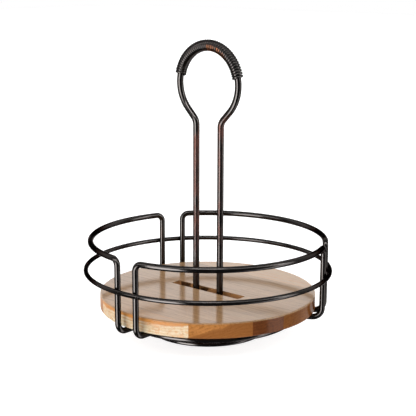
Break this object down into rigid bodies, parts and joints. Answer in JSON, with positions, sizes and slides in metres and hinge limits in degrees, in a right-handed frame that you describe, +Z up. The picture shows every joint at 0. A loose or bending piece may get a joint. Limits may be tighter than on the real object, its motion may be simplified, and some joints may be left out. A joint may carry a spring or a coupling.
{
  "type": "lazy susan turntable caddy",
  "caption": "Round wire basket caddy on a ball-bearing turntable, with a lift-out round board of glued acacia staves for its floor and a tall central loop handle with a wound grip.",
  "frame": {"origin": "on the table, on the turntable's axis, at the middle of the underside of the anti-slip ring", "axes": "+Z up along the turntable's axis, X along the handle's loop and the board's slot, one basket opening faces -Y"},
  "size_m": [0.2234, 0.2234, 0.2608],
  "materials": {
    "bronze_wire": "dark oil-rubbed bronze paint, satin",
    "handle_bronze": "dark oil-rubbed bronze paint with copper rubbed through",
    "bronze_sheet": "dark bronze paint on pressed sheet",
    "zinc_plate": "zinc-plated pressed steel",
    "rivet_steel": "plain steel",
    "ball_steel": "polished",
    "cage_nylon": "natural nylon",
    "foot_rubber": "matte",
    "acacia_sapwood": "lacquered acacia, cream to honey",
    "acacia_amber": "lacquered acacia, orange brown",
    "acacia_dark": "lacquered acacia, dark brown"
  },
  "bodies": {
    "base": {"foot_ring": "bronze_wire", "base_pan": "bronze_sheet", "anti_slip_ring": "foot_rubber", "lower_race": "zinc_plate", "lower_rivets": "rivet_steel", "pivot": "rivet_steel"},
    "ball_ring": {"bearing_balls": "ball_steel", "ball_cage": "cage_nylon"},
    "turntable": {"upper_race": "zinc_plate", "upper_rivets": "rivet_steel", "carrier_plate": "bronze_sheet", "rail_wire_back": "bronze_wire", "rail_wire_left": "bronze_wire", "rail_wire_right": "bronze_wire", "middle_hoop": "bronze_wire", "under_hoop": "bronze_wire", "handle_wire": "handle_bronze", "grip_coil": "handle_bronze"},
    "board": {"board_stave_1": "acacia_sapwood", "board_stave_2": "acacia_amber", "board_stave_3": "acacia_dark", "board_stave_4": "acacia_amber", "board_stave_5": "acacia_dark", "board_stave_6": "acacia_sapwood"}
  },
  "joints": [
    {"name": "spin", "type": "hinge", "parent": "base", "child": "turntable", "pos_m": [0, 0, 0], "axis": [0, 0, 1], "continuous": true},
    {"name": "ball_roll", "type": "hinge", "parent": "base", "child": "ball_ring", "pos_m": [0, 0, 0], "axis": [0, 0, 1], "continuous": true},
    {"name": "board_lift", "type": "slide", "parent": "turntable", "child": "board", "axis": [0, 0, 1], "range_m": [0, 0.24]}
  ],
  "couplings": [
    {"joint": "ball_roll", "follows": "spin", "ratio": 0.5}
  ]
}
